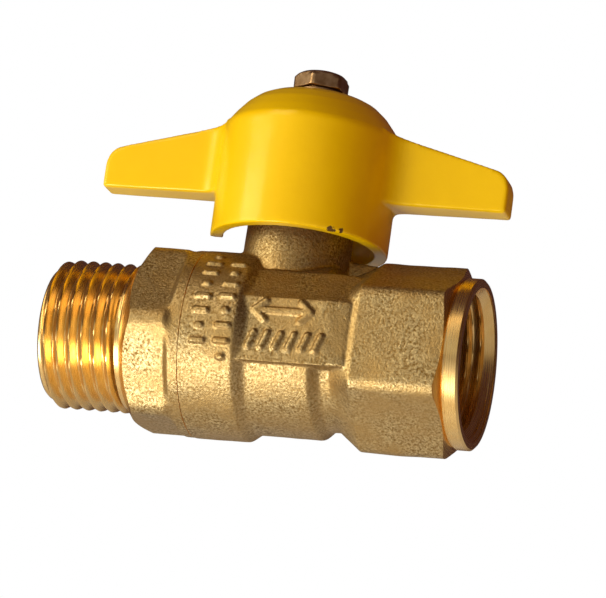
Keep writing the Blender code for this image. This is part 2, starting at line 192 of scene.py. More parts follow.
def hex_reach(across, corner, angle, turn=0.0):
    """The distance from the axis to a hexagon with rounded corners, one flat facing the angle `turn`."""
    side = (angle - turn + math.pi / 6) % (math.pi / 3) - math.pi / 6
    inner = across / 2 - corner
    if abs(side) <= math.atan2(inner * math.tan(math.pi / 6), across / 2):
        return across / 2 / math.cos(side)
    centre = inner / math.cos(math.pi / 6)
    off = math.pi / 6 - abs(side)
    return centre * math.cos(off) + math.sqrt(corner**2 - (centre * math.sin(off)) ** 2)


def lathe(bm, outline, axis="X", sides=96, reach=None, closed=False):
    """Turns (station, radius) points about an axis, capping the ends unless the outline is closed."""
    rings = []
    for station, radius in outline:
        ring = []
        for step in range(sides):
            angle = 2 * math.pi * step / sides
            r = reach(station, radius, angle) if reach else radius
            u, v = r * math.cos(angle), r * math.sin(angle)
            ring.append(bm.verts.new((station, u, v) if axis == "X" else (u, v, station)))
        rings.append(ring)
    for here, after in zip(rings, rings[1:] + rings[:1] if closed else rings[1:]):
        for i in range(sides):
            j = (i + 1) % sides
            bm.faces.new((here[i], here[j], after[j], after[i]))
    if not closed:
        bm.faces.new(rings[0])
        bm.faces.new(rings[-1])
    return bm


def loft(bm, sections):
    """Skins rings of points, all of one length, into a closed solid."""
    rings = [[bm.verts.new(point) for point in section] for section in sections]
    for here, after in zip(rings, rings[1:]):
        for i in range(len(here)):
            j = (i + 1) % len(here)
            bm.faces.new((here[i], here[j], after[j], after[i]))
    bm.faces.new(rings[0])
    bm.faces.new(rings[-1])
    return bm


def solid(bm, finishes, finish=0):
    """A closed shape, with every face given one of its piece's finishes."""
    bmesh.ops.recalc_face_normals(bm, faces=bm.faces)
    for face in bm.faces:
        face.material_index = finish
    mesh = bpy.data.meshes.new("shape")
    bm.to_mesh(mesh)
    bm.free()
    for material in finishes:
        mesh.materials.append(material)
    made = bpy.data.objects.new("shape", mesh)
    bpy.context.scene.collection.objects.link(made)
    return made


def settle(made):
    """Applies a shape's modifiers."""
    graph = bpy.context.evaluated_depsgraph_get()
    mesh = bpy.data.meshes.new_from_object(made.evaluated_get(graph))
    made.modifiers.clear()
    made.data = mesh


def combine(made, tool, how):
    """Joins, cuts or intersects a shape with another closed shape, which is used up."""
    step = made.modifiers.new("combine", "BOOLEAN")
    step.operation = how
    step.object = tool
    step.solver = "MANIFOLD"
    settle(made)
    bpy.data.objects.remove(tool)


def forge(made, grid, wear):
    """Runs overlapping solids into one skin on a fine grid, and wears the edges and corners round."""
    skin = made.modifiers.new("skin", "REMESH")
    skin.mode = "VOXEL"
    skin.voxel_size = grid
    worn = made.modifiers.new("worn", "SMOOTH")
    worn.factor = 0.5
    worn.iterations = wear
    settle(made)


def finish_piece(made, name, body, node, crease=32):
    """Names a shape, brings it to metres, and puts it in the CAD node's place on its body."""
    made.name = name
    made.data.name = name
    made.data.transform(Matrix.Scale(MM, 4))
    made.data.shade_smooth()
    made.data.set_sharp_from_angle(angle=math.radians(crease))
    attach(made, body)
    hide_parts(node)
    return made


def thread(low, high, root, depth, taper, sides=120):
    """A rod with a right-hand thread, whose crests fade out over the last `taper` at each end."""
    rows = math.ceil((high - low) / (PITCH / 14))
    stations = [(low + (high - low) * i / rows, root) for i in range(rows + 1)]

    def reach(station, radius, angle):
        wave = math.cos(2 * math.pi * station / PITCH - angle)
        crest = 0.5 + math.asin(0.95 * wave) / (2 * math.asin(0.95))
        fade = min(1.0, (station - low) / taper, (high - station) / taper)
        return radius + depth * crest * max(0.0, fade)

    return lathe(bmesh.new(), stations, sides=sides, reach=reach)


def body_reach(station, radius, angle):
    """The blank is round as far as the waist, and a hexagon under its turned outline after it."""
    if station < BARREL_END + 2.0:
        return radius
    return min(radius, hex_reach(FLATS, 2.4, angle))


def skin_of(mesh):
    """A mesh's points and their normals, as two tables."""
    places = np.empty(len(mesh.vertices) * 3)
    normals = np.empty_like(places)
    mesh.vertices.foreach_get("co", places)
    mesh.vertex_normals.foreach_get("vector", normals)
    return places.reshape(-1, 3), normals.reshape(-1, 3)


def move_skin(mesh, places):
    mesh.vertices.foreach_set("co", places.ravel())
    mesh.update()


def relief(made, marks, height):
    """Raises strokes (a point, a point and a half width, on the die's own surface) on a forged skin.

    Each mark says which part of the skin it lies on, and gives that part's own two coordinates.
    """
    places, normals = skin_of(made.data)
    lift = np.zeros(len(places))
    for surface, strokes in marks:
        inside, u, v = surface(places, normals)
        for (u0, v0), (u1, v1), half in strokes:
            run = np.array((u1 - u0, v1 - v0))
            share = ((u - u0) * run[0] + (v - v0) * run[1]) / max(run @ run, 1e-9)
            share = np.clip(share, 0.0, 1.0)
            away = np.hypot(u - u0 - share * run[0], v - v0 - share * run[1])
            rise = np.clip((half + 0.22 - away) / 0.42, 0.0, 1.0)
            rise = rise * rise * (3 - 2 * rise)
            lift = np.maximum(lift, np.where(inside, rise, 0.0))
    move_skin(made.data, places + normals * (lift * height)[:, None])


def weather(made, amounts):
    """Moves a skin in and out by slow noise: pairs of a wave length and a height."""
    places, normals = skin_of(made.data)
    for length, height in amounts:
        wave = [noise.noise(Vector(place / length)) for place in places]
        places += normals * (height * np.array(wave))[:, None]
    move_skin(made.data, places)


def on_pad(places, normals):
    """The flat pad at the front: its own coordinates are X and Z."""
    return (places[:, 1] < -11.3) & (normals[:, 1] < -0.7), places[:, 0], places[:, 2]


def on_collar(places, normals):
    """The collar: its own coordinates are X and the distance round it, from the front towards the top."""
    radius = np.hypot(places[:, 1], places[:, 2])
    round_it = np.arctan2(places[:, 2], -places[:, 1]) * COLLAR_R
    return (radius > 12.6) & (places[:, 0] < COLLAR_END + 0.2), places[:, 0], round_it


body_finishes = (blasted, turned, turned_upright)
blank = bmesh.new()
lathe(
    blank,
    (
        (JOINT - 1.0, COLLAR_R),
        (COLLAR_END - 0.2, COLLAR_R),
        (COLLAR_END + 1.2, BARREL_R),
        (BARREL_END - 0.1, BARREL_R),
        (BARREL_END + 1.2, WAIST_R),
        (BARREL_END + 2.6, WAIST_R),
        (BARREL_END + 6.0, HEX_CORNER_R),
        (FEMALE_END + 0.9, HEX_CORNER_R),
    ),
    sides=180,
    reach=body_reach,
)
# The marking pad: a flat front face, a sloping roof over it, and a level top under the handle.
pad_section = ((-FLATS / 2, -4.6), (-FLATS / 2, 4.4), (-8.2, 9.3), (0.0, 9.3), (0.0, -4.6))
pad_ends = ((COLLAR_END - 0.5, 1.0), (BARREL_END + 2.4, 1.0), (BARREL_END + 5.0, 0.985))
loft(blank, [[(x, y * share, z * share) for y, z in pad_section] for x, share in pad_ends])
lathe(blank, ((2.0, NECK_R + 0.9), (11.0, NECK_R + 0.4), (NECK_TOP + 1, NECK_R)), "Z")
# The stop lug behind the neck, and a web that stiffens the neck against the hexagon.
stop_lug = Matrix.Translation((0, 5.95, 8.8)) @ Matrix.Diagonal((4, 11.9, 17.6, 1))
bmesh.ops.create_cube(blank, size=1.0, matrix=stop_lug)
web = []
for x, top in ((4.0, 13.9), (NECK_R, 13.5), (BARREL_END + 6.2, 12.9)):
    web.append([(x, y, z) for y, z in ((-0.4, 5.0), (5.6, 5.0), (5.0, top), (0.2, top))])
loft(blank, web)
body = solid(blank, body_finishes)
forge(body, 0.2, 7)
weather(body, ((7.0, 0.10), (2.2, 0.035)))

# Generic relief from the die in place of any lettering: a two-way flow arrow over a row of lozenges on
# the pad, and two ladders of long and short ticks round the collar.
BAR = 0.4
pad_x = COLLAR_END + 1.2
arrow = [((pad_x + 1.2, 2.6), (pad_x + 8.6, 2.6), BAR)]
for tip, back in ((pad_x + 0.9, 1.5), (pad_x + 8.9, -1.5)):
    arrow += [((tip, 2.6), (tip + back, 2.6 + side), BAR) for side in (-1.3, 1.3)]
row = []
for i in range(6):
    x = pad_x + 0.9 + 1.9 * i
    row += [((x - 0.35, -2.6), (x + 0.35, -0.6), BAR)]
ladders = []
for column, (x, first) in enumerate(((JOINT + 2.7, -2.6), (JOINT + 6.1, -4.6))):
    for i in range(8):
        s = first + 2.15 * i
        half_length = 0.2 if (i + column) % 3 == 1 else 0.75
        ladders.append(((x - half_length, s), (x + half_length, s), BAR))
relief(body, ((on_pad, arrow + row), (on_collar, ladders)), 0.4)

# The turned work: the joint's face and counterbore, the chamber, the seat's pocket and the drilled
# way through, then the tapped socket, the female end's ring and chamfer, and the stem's bore.
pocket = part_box("seat_ring_female_side")[1].x / MM + 0.3
socket_floor = FEMALE_END - 15.0
way = lathe(
    bmesh.new(),
    (
        (JOINT - 4.0, 16.0),
        (JOINT + 0.1, 16.0),
        (JOINT + 0.1, COLLAR_R + 0.1),
        (JOINT, COLLAR_R - 0.1),
        (JOINT, CHAMBER_R),
        (SPIGOT_END + 0.3, CHAMBER_R),
        (SPIGOT_END + 0.3, SEAT_POCKET_R + 0.3),
        (4.8, SEAT_POCKET_R + 0.3),
        (4.8, SEAT_POCKET_R),
        (pocket, SEAT_POCKET_R),
        (pocket, BORE_R),
        (socket_floor - 1.2, BORE_R),
        (socket_floor, THREAD_R - THREAD_DEPTH),
        (FEMALE_END - 1.5, THREAD_R - THREAD_DEPTH),
        (FEMALE_END - 0.2, THREAD_R + 0.15),
        (FEMALE_END + 2.0, THREAD_R + 0.15),
    ),
)
combine(body, solid(way, body_finishes, 1), "DIFFERENCE")
tap = thread(socket_floor + 1.5, FEMALE_END + 1.0, THREAD_R - THREAD_DEPTH - 0.02, THREAD_DEPTH, 1.8)
combine(body, solid(tap, body_finishes, 1), "DIFFERENCE")
end_profile = (
    (HEX_END + 0.05, HEX_CORNER_R + 0.6),
    (HEX_END + 0.95, LIP_R + 0.15),
    (HEX_END + 1.15, LIP_R - 0.35),
    (HEX_END + 1.45, LIP_R - 0.35),
    (HEX_END + 1.6, LIP_R),
    (FEMALE_END - 0.3, LIP_R),
    (FEMALE_END, LIP_R - 0.3),
    (FEMALE_END, 9.0),
    (FEMALE_END + 3.0, 9.0),
    (FEMALE_END + 3.0, 16.0),
    (HEX_END + 0.05, 16.0),
)
end_turning = lathe(bmesh.new(), end_profile, sides=160, closed=True)
combine(body, solid(end_turning, body_finishes, 1), "DIFFERENCE")
stem_way = (
    (5.0, STEM_COLLAR_WAY_R),
    (11.8, STEM_COLLAR_WAY_R),
    (11.8, STEM_WAY_R),
    (17.5, STEM_WAY_R),
    (17.5, STUFFING_BOX_R),
    (NECK_TOP, STUFFING_BOX_R),
    (NECK_TOP, NECK_R + 1.8),
    (NECK_TOP + 2.0, NECK_R + 1.8),
)
combine(body, solid(lathe(bmesh.new(), stem_way, "Z"), body_finishes, 2), "DIFFERENCE")
finish_piece(body, "valve_body_forging", "root", "body")


# ---------------------------------------------------------------------------------------------------
# The end adapter. A second forging, screwed into the collar with thread sealant: blasted wrench flats
# turned 30 degrees from the body's, and a lathe-cut G1/2 thread with a polished shoulder behind it.

MALE_END = adapter_low.x
THREAD_STOP = MALE_END + 11.7
HEX_LEFT = MALE_END + 14.5
FLANGE = MALE_END + 19.6
FACE = JOINT - 0.07
SPIGOT_R = 10.1
ADAPTER_BORE_R = 6.5


def adapter_reach(station, radius, angle):
    if station > FLANGE:
        return radius
    return min(radius, hex_reach(FLATS, 2.6, angle, math.pi / 2))


adapter_finishes = (blasted, turned)
blank = lathe(
    bmesh.new(),
    (
        (HEX_LEFT - 3.0, HEX_CORNER_R),
        (FLANGE - 0.35, HEX_CORNER_R),
        (FLANGE + 0.45, COLLAR_R - 0.05),
        (FACE + 1.0, COLLAR_R - 0.05),
    ),
    sides=180,
    reach=adapter_reach,
)
adapter = solid(blank, adapter_finishes)
forge(adapter, 0.2, 5)
weather(adapter, ((7.0, 0.08), (2.2, 0.03)))
shoulder = (
    (HEX_LEFT - 4.5, THREAD_R - 0.5),
    (HEX_LEFT - 2.4, THREAD_R - 0.5),
    (HEX_LEFT - 1.9, THREAD_R + 0.5),
    (HEX_LEFT + 0.25, HEX_CORNER_R + 0.5),
    (HEX_LEFT + 0.25, 17.0),
    (HEX_LEFT - 4.5, 17.0),
)
shoulder_turning = lathe(bmesh.new(), shoulder, sides=160, closed=True)
combine(adapter, solid(shoulder_turning, adapter_finishes, 1), "DIFFERENCE")
flange_face = (
    (FACE - 0.1, COLLAR_R + 0.1),
    (FACE, COLLAR_R - 0.1),
    (FACE, 3.0),
    (FACE + 4.0, 3.0),
    (FACE + 4.0, 17.0),
    (FACE - 0.1, 17.0),
)
flange_turning = lathe(bmesh.new(), flange_face, sides=160, closed=True)
combine(adapter, solid(flange_turning, adapter_finishes, 1), "DIFFERENCE")
spigot = (
    (FACE - 1.0, SPIGOT_R),
    (FACE + 0.5, SPIGOT_R),
    (FACE + 0.5, SPIGOT_R - 1.1),
    (FACE + 1.9, SPIGOT_R - 1.1),
    (FACE + 1.9, SPIGOT_R),
    (SPIGOT_END - 0.3, SPIGOT_R),
    (SPIGOT_END, SPIGOT_R - 0.3),
)
combine(adapter, solid(lathe(bmesh.new(), spigot), adapter_finishes, 1), "UNION")
root_r = THREAD_R - THREAD_DEPTH
core = ((MALE_END, root_r - 0.25), (MALE_END + 0.25, root_r), (THREAD_STOP, root_r), (HEX_LEFT + 1.0, root_r))
combine(adapter, solid(lathe(bmesh.new(), core), adapter_finishes, 1), "UNION")
crests = thread(MALE_END + 0.25, THREAD_STOP + 0.9, root_r - 0.02, THREAD_DEPTH + 0.02, 0.9, sides=144)
combine(adapter, solid(crests, adapter_finishes, 1), "UNION")
drilled = (
    (MALE_END - 2.0, ADAPTER_BORE_R + 0.3),
    (MALE_END, ADAPTER_BORE_R + 0.3),
    (MALE_END + 0.3, ADAPTER_BORE_R),
    (MALE_END + 16.5, ADAPTER_BORE_R),
    (MALE_END + 18.0, BORE_R),
    (-8.9, BORE_R),
    (-8.9, SEAT_POCKET_R),
    (-4.0, SEAT_POCKET_R),
)
combine(adapter, solid(lathe(bmesh.new(), drilled), adapter_finishes, 1), "DIFFERENCE")
finish_piece(adapter, "male_end_adapter", "root", "end_adapter")


# ---------------------------------------------------------------------------------------------------
# The rubber rings. Nitrile O-rings moulded in halves, one behind the adapter's shoulder and two round
# the stem: dull black, with a faint moulding grain.


def nitrile_rubber():
    """Moulded nitrile: nearly black and dull, with fine dust in its grain."""
    made = bpy.data.materials.new("nitrile_rubber_moulded")
    made.use_nodes = True
    tree = made.node_tree
    shader = tree.nodes["Principled BSDF"]
    place = add(tree, "TexCoord", {}).outputs["Object"]
    grain = add(tree, "TexNoise", {"Vector": place, "Scale": 1 / (0.3 * MM), "Detail": 4.0})
    colour = add(
        tree,
        "Mix",
        {0: grain.outputs["Fac"], 6: linear("#141414"), 7: linear("#2B2A28")},
        data_type="RGBA",
    )
    tree.links.new(colour.outputs[2], shader.inputs["Base Color"])
    shader.inputs["Roughness"].default_value = 0.55
    bump = add(tree, "Bump", {"Strength": 0.3, "Distance": 0.02 * MM, "Height": grain.outputs["Fac"]})
    tree.links.new(bump.outputs[0], shader.inputs["Normal"])
    return made


rubber = nitrile_rubber()


def ring_of(section, axis, finishes, sides=96):
    """A ring whose cut section is a closed outline of (station, radius) points."""
    return solid(lathe(bmesh.new(), section, axis, sides=sides, closed=True), finishes)


for node, axis, rider in (
    ("adapter_o_ring", 0, "root"),
    ("stem_o_ring_lower", 2, "handle_and_stem"),
    ("stem_o_ring_upper", 2, "handle_and_stem"),
):
    low, high = (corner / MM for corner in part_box(node))
    half = (high[axis] - low[axis]) / 2
    middle = (high[axis] + low[axis]) / 2
    round_section = [
        (middle + half * math.cos(math.radians(a)), high.y - half + half * math.sin(math.radians(a)))
        for a in range(0, 360, 24)
    ]
    o_ring = ring_of(round_section, "XYZ"[axis], (rubber,))
    finish_piece(o_ring, node + "_moulded", rider, node, 80)


# ---------------------------------------------------------------------------------------------------
# The ball and its seats. The ball is turned brass, ground and chrome plated, with a bore as wide as
# the pipe's and a slot for the stem's tang. It floats between two turned PTFE rings.


def chrome_plate():
    """Bright chrome over ground brass: a near mirror, with faint grinding marks."""
    made = bpy.data.materials.new("chrome_plate_polished")
    made.use_nodes = True
    tree = made.node_tree
    shader = tree.nodes["Principled BSDF"]
    place = add(tree, "TexCoord", {}).outputs["Object"]
    stretched = add(tree, "Mapping", {"Vector": place, "Scale": (0.15, 1.0, 1.0)})
    marks = add(tree, "TexNoise", {"Vector": stretched.outputs[0], "Scale": 1 / (0.2 * MM), "Detail": 3.0})
    colour = add(
        tree,
        "Mix",
        {0: marks.outputs["Fac"], 6: linear("#C3C6CA"), 7: linear("#E2E4E6")},
        data_type="RGBA",
    )
    tree.links.new(colour.outputs[2], shader.inputs["Base Color"])
    shader.inputs["Metallic"].default_value = 1.0
    polish = add(
        tree,
        "MapRange",
        {"Value": marks.outputs["Fac"], "From Min": 0.3, "From Max": 0.7, "To Min": 0.05, "To Max": 0.13},
    )
    tree.links.new(polish.outputs[0], shader.inputs["Roughness"])
    return made


def white_ptfe():
    """Turned PTFE: waxy white, slightly see-through at the edges, with a faint cloudy grain."""
    made = bpy.data.materials.new("ptfe_turned")
    made.use_nodes = True
    tree = made.node_tree
    shader = tree.nodes["Principled BSDF"]
    place = add(tree, "TexCoord", {}).outputs["Object"]
    cloud = add(tree, "TexNoise", {"Vector": place, "Scale": 1 / (1.2 * MM), "Detail": 4.0})
    colour = add(
        tree,
        "Mix",
        {0: cloud.outputs["Fac"], 6: linear("#E4E2DB"), 7: linear("#F6F5F1")},
        data_type="RGBA",
    )
    tree.links.new(colour.outputs[2], shader.inputs["Base Color"])
    shader.inputs["Roughness"].default_value = 0.42
    shader.inputs["Subsurface Weight"].default_value = 0.15
    shader.inputs["Subsurface Scale"].default_value = 0.5 * MM
    bump = add(tree, "Bump", {"Strength": 0.2, "Distance": 0.01 * MM, "Height": cloud.outputs["Fac"]})
    tree.links.new(bump.outputs[0], shader.inputs["Normal"])
    return made


chrome = chrome_plate()
ptfe = white_ptfe()
BALL_R = 8.2
SLOT = 3.6
SLOT_FLOOR = 6.2

half_bore = math.sqrt(BALL_R**2 - (BORE_R + 0.3) ** 2)
sphere = [(-half_bore - 0.12, BORE_R + 0.12), (-half_bore + 0.5, BORE_R), (half_bore - 0.5, BORE_R)]
sphere.append((half_bore + 0.12, BORE_R + 0.12))
rim = math.asin((BORE_R + 0.3) / BALL_R)
for i in range(41):
    angle = rim + (math.pi - 2 * rim) * i / 40
    sphere.append((BALL_R * math.cos(angle), BALL_R * math.sin(angle)))
ball = ring_of(sphere, "X", (chrome,), sides=128)
slot = bmesh.new()
slot_place = Matrix.Translation((0, 0, SLOT_FLOOR + 2)) @ Matrix.Diagonal((SLOT, 20, 4, 1))
bmesh.ops.create_cube(slot, size=1.0, matrix=slot_place)
combine(ball, solid(slot, (chrome,)), "DIFFERENCE")
finish_piece(ball, "bored_ball", "ball", "ball")

for node, side in (("seat_ring_female_side", 1), ("seat_ring_male_side", -1)):
    low, high = (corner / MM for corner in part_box(node))
    near, far = min(abs(low.x), abs(high.x)), max(abs(low.x), abs(high.x))
    section = [(far, 5.3), (far, high.y - 0.3), (far - 0.3, high.y), (near, high.y)]
    for i in range(9):
        r = high.y - 0.87 + (5.5 - high.y + 0.87) * i / 8
        section.append((math.sqrt((BALL_R + 0.3) ** 2 - r**2), r))
    seat = ring_of([(side * x, r) for x, r in section], "X", (ptfe,))
    finish_piece(seat, node + "_turned", "root", node)


# ---------------------------------------------------------------------------------------------------
# The stem and its packing. The stem is turned from bar, with a collar that stops it blowing out, two
# grooves, a tang for the ball and a milled square for the handle. PTFE rings and a nut seal it.

stem_low, stem_high = (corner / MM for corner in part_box("stem"))
STEM_R = 4.0
SQUARE = 6.0
stem_outline = [(8.75, 4.9), (9.0, 5.2), (10.15, 5.2), (10.4, 4.95), (10.4, STEM_R)]
for node in ("stem_o_ring_lower", "stem_o_ring_upper"):
    low, high = (corner.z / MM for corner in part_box(node))
    stem_outline += [(low - 0.3, STEM_R), (low - 0.3, 3.0), (high + 0.3, 3.0), (high + 0.3, STEM_R)]
stem_outline += [(24.7, STEM_R), (25.0, STEM_R - 0.3)]
stem = solid(lathe(bmesh.new(), stem_outline, "Z", 64), (turned_upright,))
for low, high, x, y in ((24.0, stem_high.z, SQUARE, SQUARE), (stem_low.z, 9.2, SLOT - 0.6, 6.0)):
    block = bmesh.new()
    place = Matrix.Translation((0, 0, (low + high) / 2)) @ Matrix.Diagonal((x, y, high - low, 1))
    bmesh.ops.create_cube(block, size=1.0, matrix=place)
    bmesh.ops.bevel(block, geom=block.edges[:], offset=0.2, segments=2, profile=0.5, affect="EDGES")
    combine(stem, solid(block, (turned_upright,)), "UNION")
hole = lathe(bmesh.new(), ((26.0, 2.3), (stem_high.z - 0.3, 2.3), (stem_high.z + 1, 3.0)), "Z", 48)
combine(stem, solid(hole, (turned_upright,)), "DIFFERENCE")
finish_piece(stem, "stem_turned", "handle_and_stem", "stem")

for node in ("stem_thrust_washer", "packing_ring"):
    low, high = (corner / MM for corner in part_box(node))
    edge = 0.12
    section = ((low.z, 4.3), (low.z, high.y - edge), (low.z + edge, high.y), (high.z - edge, high.y))
    section += ((high.z, high.y - edge), (high.z, 4.3 + edge), (high.z - edge, 4.3))
    finish_piece(ring_of(section, "Z", (ptfe,)), node + "_turned", "root", node)

nut_low, nut_high = (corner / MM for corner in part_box("gland_nut"))
NUT_FLATS = 13.0


def nut_reach(station, radius, angle):
    return min(radius, hex_reach(NUT_FLATS, 0.3, angle)) if station > NECK_TOP else radius


nut_outline = [(nut_low.z, 5.35), (nut_low.z + 0.25, 5.6), (NECK_TOP + 0.25, 5.6), (NECK_TOP + 0.3, 6.6)]
nut_outline += [(NECK_TOP + 0.75, 7.5), (nut_high.z - 0.45, 7.5), (nut_high.z, 6.6)]
nut = solid(lathe(bmesh.new(), nut_outline, "Z", 144, nut_reach), (turned_upright,))
hole = lathe(bmesh.new(), ((15.0, 4.3), (nut_high.z - 0.3, 4.3), (nut_high.z + 1, 5.6)), "Z", 64)
combine(nut, solid(hole, (turned_upright,)), "DIFFERENCE")
finish_piece(nut, "gland_nut_turned", "root", "gland_nut")


# ---------------------------------------------------------------------------------------------------
# The butterfly handle. A zinc alloy die casting: a bell over the neck, open on one quarter so that it
# turns past the stop lug, and two tapered wings. It is dipped in a glossy yellow epoxy coat.

handle_low, handle_high = (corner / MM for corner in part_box("handle"))
HUB_R = 12.5
HUB_INNER_R = 10.5
RIM = handle_low.z
HUB_TOP = handle_high.z
WING_FLOOR = 21.35
WING_TIP = handle_high.x - 0.2
WING_FALL = 0.262
WING_TOP = 31.15 + 0.5 * WING_FALL
WING_CORNER = 2.0
ROOT_FILLET = 3.4
WING_HALF = 2.45
CAVITY_TOP = 28.3
BOSS_R = 5.6


def yellow_coat():
    """Glossy yellow epoxy on a casting: deep colour, a slight orange peel, and nicks at the rim.

    Its gloss is tinted, so that pale surroundings don't wash the yellow out.
    """
    made = bpy.data.materials.new("epoxy_coat_yellow_gloss")
    made.use_nodes = True
    tree = made.node_tree
    shader = tree.nodes["Principled BSDF"]
    place = add(tree, "TexCoord", {}).outputs["Object"]
    cloud = add(tree, "TexNoise", {"Vector": place, "Scale": 1 / (7.0 * MM), "Detail": 3.0})
    peel = add(tree, "TexNoise", {"Vector": place, "Scale": 1 / (1.1 * MM), "Detail": 1.5})
    coat = add(
        tree,
        "Mix",
        {0: cloud.outputs["Fac"], 6: linear("#EDBC00"), 7: linear("#F6C900")},
        data_type="RGBA",
    )
    ragged = add(tree, "TexNoise", {"Vector": place, "Scale": 1 / (0.5 * MM), "Detail": 4.0})
    nicks = None
    for x, y, z, size in ((7.2, -10.2, RIM + 0.1, 0.85), (8.4, -9.3, RIM + 0.3, 0.5)):
        spot = (x * MM, y * MM, z * MM)
        away = add(tree, "VectorMath", {0: place, 1: spot}, operation="DISTANCE")
        far = add(
            tree,
            "MapRange",
            {
                "Value": away.outputs["Value"],
                "From Min": 0.0,
                "From Max": 2 * size * MM,
                "To Min": 0.85,
                "To Max": -0.15,
            },
        )
        if nicks:
            far = add(tree, "Math", {0: nicks.outputs[0], 1: far.outputs[0]}, operation="MAXIMUM")
        nicks = far
    bare = add(tree, "Math", {0: nicks.outputs[0], 1: ragged.outputs["Fac"]}, operation="SUBTRACT")
    bare = add(tree, "MapRange", {"Value": bare.outputs[0], "From Min": -0.02, "From Max": 0.06})
    colour = add(
        tree,
        "Mix",
        {0: bare.outputs[0], 6: coat.outputs[2], 7: linear("#5C3E1C")},
        data_type="RGBA",
    )
    tree.links.new(colour.outputs[2], shader.inputs["Base Color"])
    gloss = add(tree, "MapRange", {"Value": bare.outputs[0], "To Min": 0.3, "To Max": 0.6})
    tree.links.new(gloss.outputs[0], shader.inputs["Roughness"])
    shader.inputs["IOR"].default_value = 1.52
    shader.inputs["Specular Tint"].default_value = linear("#FFF09A")
    shader.inputs["Coat Weight"].default_value = 0.2
    shader.inputs["Coat Roughness"].default_value = 0.12
    hollow = add(tree, "MapRange", {"Value": bare.outputs[0], "To Min": 0.0, "To Max": -3.0})
    height = add(tree, "Math", {0: hollow.outputs[0], 1: peel.outputs["Fac"]}, operation="ADD")
    bump = add(tree, "Bump", {"Strength": 0.5, "Distance": 0.03 * MM, "Height": height.outputs[0]})
    tree.links.new(bump.outputs[0], shader.inputs["Normal"])
    return made


yellow = yellow_coat()


def wing(side):
    """Sections along one wing: its fillet at the hub, its sloping top edge and its rounded tip."""
    yc = WING_HALF + ROOT_FILLET
    start = math.sqrt((HUB_R + ROOT_FILLET) ** 2 - yc**2)
    stations = [8.0] + [HUB_R - 1 + (WING_TIP - HUB_R + 1) * i / 60 for i in range(61)]
    sections = []
    for x in stations:
        half = WING_HALF - 0.3 * max(0.0, (x - start) / (WING_TIP - start))
        if x < start:
            half = yc - math.sqrt(max(ROOT_FILLET**2 - (start - x) ** 2, 0.8))
        top = WING_TOP - WING_FALL * (x - HUB_R)
        past = x - WING_TIP + WING_CORNER
        if past > 0:
            top -= WING_CORNER - math.sqrt(max(WING_CORNER**2 - past**2, 0.0))
        outline = ((-half, WING_FLOOR), (half, WING_FLOOR), (half, top), (-half, top))
        sections.append([(side * x, y, z) for y, z in outline])
    return sections


handle = bmesh.new()
dome = [(RIM, HUB_R), (30.6, HUB_R), (31.2, HUB_R - 0.15)]
dome += [(32.6, 11.4), (34.2, 10.1), (35.4, 8.7), (36.1, 7.3), (HUB_TOP, 6.0)]
lathe(handle, dome, "Z", 160)
for side in (1, -1):
    loft(handle, wing(side))
handle = solid(handle, (yellow,))
cavity = (
    (RIM - 3.0, HUB_INNER_R + 0.2),
    (CAVITY_TOP, HUB_INNER_R - 0.2),
    (CAVITY_TOP, BOSS_R),
    (CAVITY_TOP - 3.0, BOSS_R + 0.1),
    (CAVITY_TOP - 3.0, 3.0),
    (RIM - 3.0, 3.0),
)
forge(handle, 0.22, 1)
combine(handle, solid(lathe(bmesh.new(), cavity, "Z", 128, closed=True), (yellow,)), "DIFFERENCE")
GAP_START, GAP_END, GAP_TOP = 78.3, 191.7, 20.8
sections = []
for i in range(33):
    angle = math.radians(GAP_START + (GAP_END - GAP_START) * i / 32)
    sections.append(
        [
            (r * math.cos(angle), r * math.sin(angle), z)
            for r, z in ((7.0, RIM - 2), (20.0, RIM - 2), (20.0, GAP_TOP), (7.0, GAP_TOP))
        ]
    )
combine(handle, solid(loft(bmesh.new(), sections), (yellow,)), "DIFFERENCE")
forge(handle, 0.22, 5)
socket = bmesh.new()
place = Matrix.Translation((0, 0, 29.0)) @ Matrix.Diagonal((SQUARE + 0.6, SQUARE + 0.6, 9.6, 1))
bmesh.ops.create_cube(socket, size=1.0, matrix=place)
combine(handle, solid(socket, (yellow,)), "DIFFERENCE")
hole = lathe(bmesh.new(), ((30.0, 2.3), (HUB_TOP + 2, 2.3)), "Z", 64)
combine(handle, solid(hole, (yellow,)), "DIFFERENCE")
weather(handle, ((9.0, 0.06), (2.5, 0.012)))
finish_piece(handle, "butterfly_handle", "handle_and_stem", "handle", 50)


# ---------------------------------------------------------------------------------------------------
# The handle's screw and spring washer. Pressed and rolled steel, zinc plated and passivated yellow,
# which gives a brownish metal with a faint rainbow cast. The washer is one sprung turn of square wire.

screw_low, screw_high = (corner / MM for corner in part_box("handle_screw"))
washer_low, washer_high = (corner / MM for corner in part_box("spring_washer"))
HEAD_LOW = 37.65
HEAD_FLATS = 7.0
HEAD_TURN = math.radians(-64.7)


